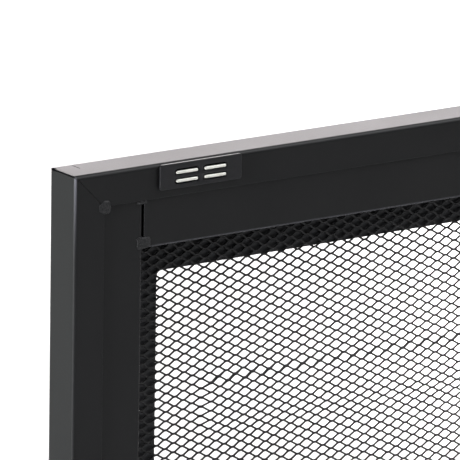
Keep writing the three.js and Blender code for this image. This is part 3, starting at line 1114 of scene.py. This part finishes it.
def knot_faces(surface, knots):
    """Both flat faces of each knot, two quads each, and its cut top and foot."""
    for quad in ((LEFT, UPPER_LEFT, UPPER_RIGHT, RIGHT), (LEFT, RIGHT, LOWER_RIGHT, LOWER_LEFT)):
        surface.span(*(knots[:, place, 0] for place in quad[::-1]))
        surface.span(*(knots[:, place, 1] for place in quad))
    edge_walls(surface, knots, UPPER_LEFT, UPPER_RIGHT)
    edge_walls(surface, knots, LOWER_RIGHT, LOWER_LEFT)


UPPER_EDGES = ((UPPER_LEFT, LEFT), (RIGHT, UPPER_RIGHT))
LOWER_EDGES = ((LEFT, LOWER_LEFT), (LOWER_RIGHT, RIGHT))


def mesh_band(lattice, band, first, last):
    """One band of the panel: the knots of some rows and the strands that rise from them to the row
    above. A knot's edge that holds no strand of this band gets a wall."""
    surface = Surface()
    start = max(first - 1, 0)
    numbers = surface.add(lattice.points()[start:last])
    rows = np.arange(first, last)
    own = numbers[rows - start]
    knot_faces(surface, own[lattice.kept[rows]])
    for aside in (0, 1):
        columns, held = lattice.neighbours(rows, -1, aside)
        above = numbers[np.maximum(rows - 1 - start, 0)[:, None], columns]
        edge = UPPER_EDGES[aside]
        far_edge = LOWER_EDGES[1 - aside]
        sides = ((edge[0], far_edge[1]), (edge[1], far_edge[0]))
        strands(surface, own[held], above[held], sides)
        edge_walls(surface, own[lattice.kept[rows] & ~held], *edge)
        edge_walls(surface, above[0][held[0]], *far_edge)
        held = lattice.neighbours(rows, 1, aside)[1]
        held[-1] = False
        edge_walls(surface, own[lattice.kept[rows] & ~held], *LOWER_EDGES[aside])
    return surface.object(f"mesh_panel_band_{band + 1}", mesh_coat, smooth=False)


class FIRE_SCREEN_OT_mesh(bpy.types.Operator):
    """Slits and stretches the expanded-metal panel, in a few bands"""

    bl_idname = "fire_screen.mesh"
    bl_label = "Mesh panel"

    def execute(self, context):
        size = context.scene.fire_screen.mesh
        lattice = Lattice(size)
        rows = np.linspace(0, len(lattice.kept), size.bands + 1).astype(int)
        for band in range(size.bands):
            piece = mesh_band(lattice, band, rows[band], rows[band + 1])
            settle(piece, "frame", "mesh_coat", "mesh_panel")
        return {"FINISHED"}


# ---- Magnetic catches ----------------------------------------------------------------------------

EDGE_SHARES = (1 - np.cos(np.linspace(0, math.pi, 25))) / 2
RIM_TURNS = np.radians([0, 30, 60, 90])


def pack_middle(hand, place):
    """The middle between the two pole plates of a magnet pack."""
    stem = f"{hand}_catch_{place}_"
    return (middle(stem + "upper_pole") + middle(stem + "lower_pole")) / 2


def rounded(points, half, radius):
    """Points on a rectangle's edge, moved onto the same rectangle with round corners: within a
    corner's square a point slides along the line to the corner's centre until a radius off."""
    half = np.asarray(half)
    corner = np.abs(points) - (half - radius)
    distance = np.maximum(np.linalg.norm(corner, axis=-1, keepdims=True), TINY)
    inside = (corner > 0).all(axis=-1, keepdims=True)
    return np.where(inside, np.sign(points) * (half - radius + corner * radius / distance), points)


def ray_to_rectangle(rays, half):
    """Where rays from a rectangle's middle meet its edge."""
    reach = np.asarray(half) / np.maximum(np.abs(rays), TINY)
    return rays * np.min(reach, axis=-1, keepdims=True)


def hole_edge(rays, centre, half, radius, grow):
    """Where rays from a hole's middle meet its edge, with the hole grown on all sides."""
    grown = np.asarray(half) + grow
    return centre + rounded(ray_to_rectangle(rays, grown), grown, radius + grow)


def rectangle_loop(low, high):
    """A closed loop of points on a rectangle's edge, closer together near its corners."""
    x = low[0] + (high[0] - low[0]) * EDGE_SHARES
    z = low[1] + (high[1] - low[1]) * EDGE_SHARES
    bottom = np.stack([x, np.full_like(x, low[1])], axis=-1)[:-1]
    right = np.stack([np.full_like(z, high[0]), z], axis=-1)[:-1]
    top = np.stack([x, np.full_like(x, high[1])], axis=-1)[:0:-1]
    left = np.stack([np.full_like(z, low[0]), z], axis=-1)[:0:-1]
    return np.concatenate([bottom, right, top, left])


def rim_levels(rim, front, back):
    """Inset and Y of each ring on a slab's rounded rim, from the front face to the back one. With t
    from 0 to a quarter turn, a ring lies rim (1 - sin t) in and rim (1 - cos t) off its face."""
    insets, drops = rim * (1 - np.sin(RIM_TURNS)), rim * (1 - np.cos(RIM_TURNS))
    return [*zip(insets, front - drops), *zip(insets[::-1], (back + drops)[::-1])]


def at_depth(ring, y):
    """A ring of (X, Z) points, placed at a depth."""
    return np.stack([ring[:, 0], np.full(len(ring), y), ring[:, 1]], axis=-1)


def pierced_slab(surface, middle_point, half, radius, rim, cells, depths, lip):
    """A slab with round corners and one hole in each of its cells.

    The face is a ring of quads between each cell's edge and its hole, found along rays from the
    hole's middle. Faces, hole walls and the rounded rim are rings at falling Y. cells lists the
    low and high corner of each cell, then the hole's middle, half size and corner radius."""
    half = np.asarray(half)
    flat = half - rim
    back, front = depths
    for low, high, centre, hole_half, hole_radius in cells:
        loop = rectangle_loop(np.array(low), np.array(high))
        face = rounded(loop, flat, radius - rim)
        rays = face - centre

        mouth = hole_edge(rays, centre, hole_half, hole_radius, lip)
        hole = hole_edge(rays, centre, hole_half, hole_radius, 0)
        rings = [(face, front), (mouth, front), (hole, front - lip)]
        rings += [(hole, back + lip), (mouth, back), (face, back)]
        faces = np.stack([at_depth(ring, y) for ring, y in rings]) + middle_point
        surface.cover(surface.add(faces), closed=True)
        outside = (np.abs(loop) > flat - NEAR_EDGE).any(axis=-1)
        walls = []
        for inset, y in rim_levels(rim, front, back):
            ring = rounded(loop * (half - inset) / flat, half - inset, radius - inset)
            walls.append(at_depth(ring, y) + middle_point)
        following = np.roll(outside, -1)
        keep = np.broadcast_to(outside & following, (len(walls) - 1, len(loop)))
        surface.cover(surface.add(np.stack(walls)), closed=True, keep=keep)


def mould_housing(hand, size):
    """A catch's faceplate with four slots, and its body behind it with a pocket for each pack."""
    node = f"{hand}_catch_housing"
    low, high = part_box(node)
    cover_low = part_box(f"{hand}_catch_cover")[0]
    outer, inner = pack_middle(hand, "outer"), pack_middle(hand, "inner")
    pole_low, pole_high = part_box(f"{hand}_catch_outer_upper_pole")
    plate_half = np.array([(high.x - low.x) / 2, high.z - (low.z + high.z) / 2])
    centre = np.array([(low.x + high.x) / 2, 0, (low.z + high.z) / 2])
    drop = outer.z - centre[2]
    column = abs(outer.x - inner.x) / 2
    hole_x = (pole_high.x - pole_low.x) / 2 + size.slot_play
    pocket_z = size.body_z / 2 - size.wall
    slot_z = (size.slot_top - size.slot_rib / 2) / 2
    flat = plate_half - size.plate_rim
    cells = []
    for across in (-1, 1):
        for row in (-1, 1):
            xs = sorted((0, across * flat[0]))
            zs = sorted((drop, row * flat[1]))
            slot = (across * column, drop + row * (size.slot_top - slot_z))
            cell = (xs[0], zs[0]), (xs[1], zs[1])
            cells.append((*cell, slot, (hole_x, slot_z), slot_z))
    surface = Surface()
    depths = (high.y - size.plate, high.y)
    corners = (size.plate_radius, size.plate_rim)
    pierced_slab(surface, centre, plate_half, *corners, cells, depths, size.lip)
    body_half = np.array([size.body_x, size.body_z]) / 2
    body_flat = body_half - size.lip
    pockets = []
    for across in (-1, 1):
        xs = sorted((0, across * body_flat[0]))
        cell = (xs[0], -body_flat[1]), (xs[1], body_flat[1])
        hole = (across * column, 0), (hole_x, pocket_z), size.body_radius / 2
        pockets.append((*cell, *hole))
    body_centre = centre + np.array([0, 0, drop])
    depths = (cover_low.y, high.y - size.plate)
    corners = (size.body_radius, size.lip)
    pierced_slab(surface, body_centre, body_half, *corners, pockets, depths, size.lip)
    piece = surface.object(node + "_moulded", catch_plastic)
    settle(piece, "frame", "catch_plastic", node)


class FIRE_SCREEN_OT_housings(bpy.types.Operator):
    """Moulds the two catches' faceplates and bodies, and finishes their covers"""

    bl_idname = "fire_screen.housings"
    bl_label = "Catch housings"

    def execute(self, context):
        for hand in HANDS:
            mould_housing(hand, context.scene.fire_screen.catch)
            refinish(f"{hand}_catch_cover", catch_plastic)
        return {"FINISHED"}


def refinish(node, make_material):
    """Gives a frame node its finish."""
    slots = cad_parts[node].data.materials
    slots.clear()
    slots.append(finish_for(make_material))


def stamp_pole(node, size):
    """A pole plate: a rounded rectangle carried along Y, with a rounded tip and foot."""
    low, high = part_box(node)
    centre = (low + high) / 2
    long_way, short_way = high.x - low.x - size.pole_short, high.z - low.z - size.pole_thin
    half = np.array([long_way, short_way]) / 2
    loop = rectangle_loop(-half, half)
    middle_line = half.min()
    rings = rim_levels(size.pole_rim, high.y, low.y)
    rings = [(middle_line, high.y), *rings, (middle_line, low.y)]
    points = []
    for inset, y in rings:
        radius = max(size.pole_radius - inset, 0)
        points.append(at_depth(rounded(loop * (half - inset) / half, half - inset, radius), y))
    surface = Surface()
    across = np.array([centre.x, 0, centre.z])
    surface.cover(surface.add(np.stack(points) + across), closed=True)
    return surface.object(node + "_plate", zinc_plate)


class FIRE_SCREEN_OT_packs(bpy.types.Operator):
    """Stamps the pole plates of the four magnet packs and finishes their magnets"""

    bl_idname = "fire_screen.packs"
    bl_label = "Magnet packs"

    def execute(self, context):
        for hand in HANDS:
            for place in PLACES:
                stem = f"{hand}_catch_{place}_"
                for row in ROWS:
                    plate = stamp_pole(stem + row + "_pole", context.scene.fire_screen.catch)
                    settle(plate, f"{hand}_{place}_pack", "pole_steel", stem + row + "_pole")
                refinish(stem + "magnet", sintered_ferrite)
        return {"FINISHED"}


# ---- Stage ---------------------------------------------------------------------------------------


# Each lamp's place, the point it faces, its size and its tint. Its brightness is a stage setting.
LAMPS = {
    "back_panel": ((-2.6, -3.4, 1.9), (-2.0, 0, 0.9), (5, 2.4), (1, 0.94, 0.955)),
    "near_panel": ((-2.0, -1.7, 1.35), (-1.2, 0.5, 0.9), (2.6, 1.0), (1, 0.94, 0.955)),
    "ground": ((-1.0, -2.2, 2.2), (-1.0, -2.1, 0), (2.2, 1.6), (1, 1, 1)),
    "floor_strip": ((-1.20, -1.60, 0.12), (-1.196, -1.603, 0), (1.1, 0.12), (1, 1, 1)),
    "ceiling": ((-1.8, 0.9, 2.6), (0.3, 0, 0.6), (2, 2), (0.97, 0.98, 1)),
    "front_floor": ((-0.9, 1.9, 1.8), (-0.9, 1.8, 0), (1.4, 1.2), (0.95, 0.97, 1)),
    "right_strip": ((1.88, 0.27, 0.73), (0.457, 0.01, 0.55), (0.25, 0.7), (0.97, 0.97, 1)),
    "far_panel": ((3.6, -0.6, 1.2), (0.45, 0, 0.6), (1.6, 1.6), (0.93, 1, 0.94)),
    "right_floor": ((2.2, -2.4, 0.8), (2.15, -2.35, 0), (1.0, 0.8), (0.93, 1, 0.94)),
}


def look(place, target):
    """The turn that points an object's -Z from a place at a target, with its +Y upwards."""
    return (Vector(target) - Vector(place)).to_track_quat("-Z", "Y").to_matrix().to_4x4()


def soft_lamp(name, place, target, size, brightness, tint=(1, 1, 1)):
    """A rectangular lamp whose face has the given brightness. It doesn't show to the camera."""
    data = bpy.data.lights.new(name, "AREA")
    data.shape = "RECTANGLE"
    data.size, data.size_y = size
    data.energy = brightness * math.pi * size[0] * size[1]
    data.color = tint
    lamp = bpy.data.objects.new(name, data)
    lamp.matrix_world = Matrix.Translation(place) @ look(place, target)
    lamp.visible_camera = False
    bpy.context.collection.objects.link(lamp)


def lay_floor(settings):
    """A flat grid under the screen."""
    steps = np.linspace(-0.5, 0.5, 5) * settings.floor_size
    x, y = np.meshgrid(steps, steps)
    surface = Surface()
    surface.cover(surface.add(np.stack([x, y, np.full_like(x, CAD_BOX[0].z)], axis=-1)))
    surface.object("floor", studio_floor, smooth=False, join_within=0)


def set_camera(settings):
    """A long lens at the given angles and distance from its aim, turned by the roll."""
    level = math.cos(settings.elevation)
    direction = Vector(
        (
            level * math.sin(settings.azimuth),
            level * math.cos(settings.azimuth),
            math.sin(settings.elevation),
        )
    )
    aim = Vector(settings.aim)
    place = aim + direction * settings.distance
    data = bpy.data.cameras.new("camera")
    data.lens = settings.lens
    data.clip_end = 200
    camera = bpy.data.objects.new("camera", data)
    turned = look(place, aim) @ Matrix.Rotation(settings.roll, 4, "Z")
    camera.matrix_world = Matrix.Translation(place) @ turned
    bpy.context.collection.objects.link(camera)
    bpy.context.scene.camera = camera


class FIRE_SCREEN_OT_stage(bpy.types.Operator):
    """Lays the floor and sets the lights and the camera"""

    bl_idname = "fire_screen.stage"
    bl_label = "Stage"

    def execute(self, context):
        scene = context.scene
        settings = scene.fire_screen.stage
        scene.view_settings.view_transform = "Standard"
        world = bpy.data.worlds.new("studio")
        world.use_nodes = True
        world.node_tree.nodes["Background"].inputs["Color"].default_value = (1, 1, 1, 1)
        world.node_tree.nodes["Background"].inputs["Strength"].default_value = settings.world
        scene.world = world
        lay_floor(settings)
        for name, (place, target, size, tint) in LAMPS.items():
            soft_lamp(name, place, target, size, getattr(settings, name), tint)
        set_camera(settings)
        return {"FINISHED"}


# ---- Add-on --------------------------------------------------------------------------------------

OPERATORS = (
    FIRE_SCREEN_OT_pan,
    FIRE_SCREEN_OT_retainers,
    FIRE_SCREEN_OT_welds,
    FIRE_SCREEN_OT_mesh,
    FIRE_SCREEN_OT_housings,
    FIRE_SCREEN_OT_packs,
    FIRE_SCREEN_OT_stage,
)


class FIRE_SCREEN_PT_pieces(bpy.types.Panel):
    """Lists the pieces of the fireplace screen"""

    bl_idname = "FIRE_SCREEN_PT_pieces"
    bl_label = "Fireplace screen"
    bl_space_type = "VIEW_3D"
    bl_region_type = "UI"
    bl_category = "Fire Screen"

    def draw(self, context):
        for operator in OPERATORS:
            self.layout.operator(operator.bl_idname)


CLASSES = (
    PanSizes,
    RetainerSizes,
    MeshSizes,
    CatchSizes,
    Colours,
    StageSettings,
    FireScreen,
    *OPERATORS,
    FIRE_SCREEN_PT_pieces,
)


def register():
    for item in CLASSES:
        bpy.utils.register_class(item)
    bpy.types.Scene.fire_screen = bpy.props.PointerProperty(type=FireScreen)


def unregister():
    del bpy.types.Scene.fire_screen
    for item in reversed(CLASSES):
        bpy.utils.unregister_class(item)


def main():
    """Builds every piece round the frame."""
    register()
    bpy.ops.fire_screen.stage()
    bpy.ops.fire_screen.pan()
    bpy.ops.fire_screen.retainers()
    bpy.ops.fire_screen.welds()
    bpy.ops.fire_screen.mesh()
    bpy.ops.fire_screen.housings()
    bpy.ops.fire_screen.packs()


if __name__ == "__main__":
    main()
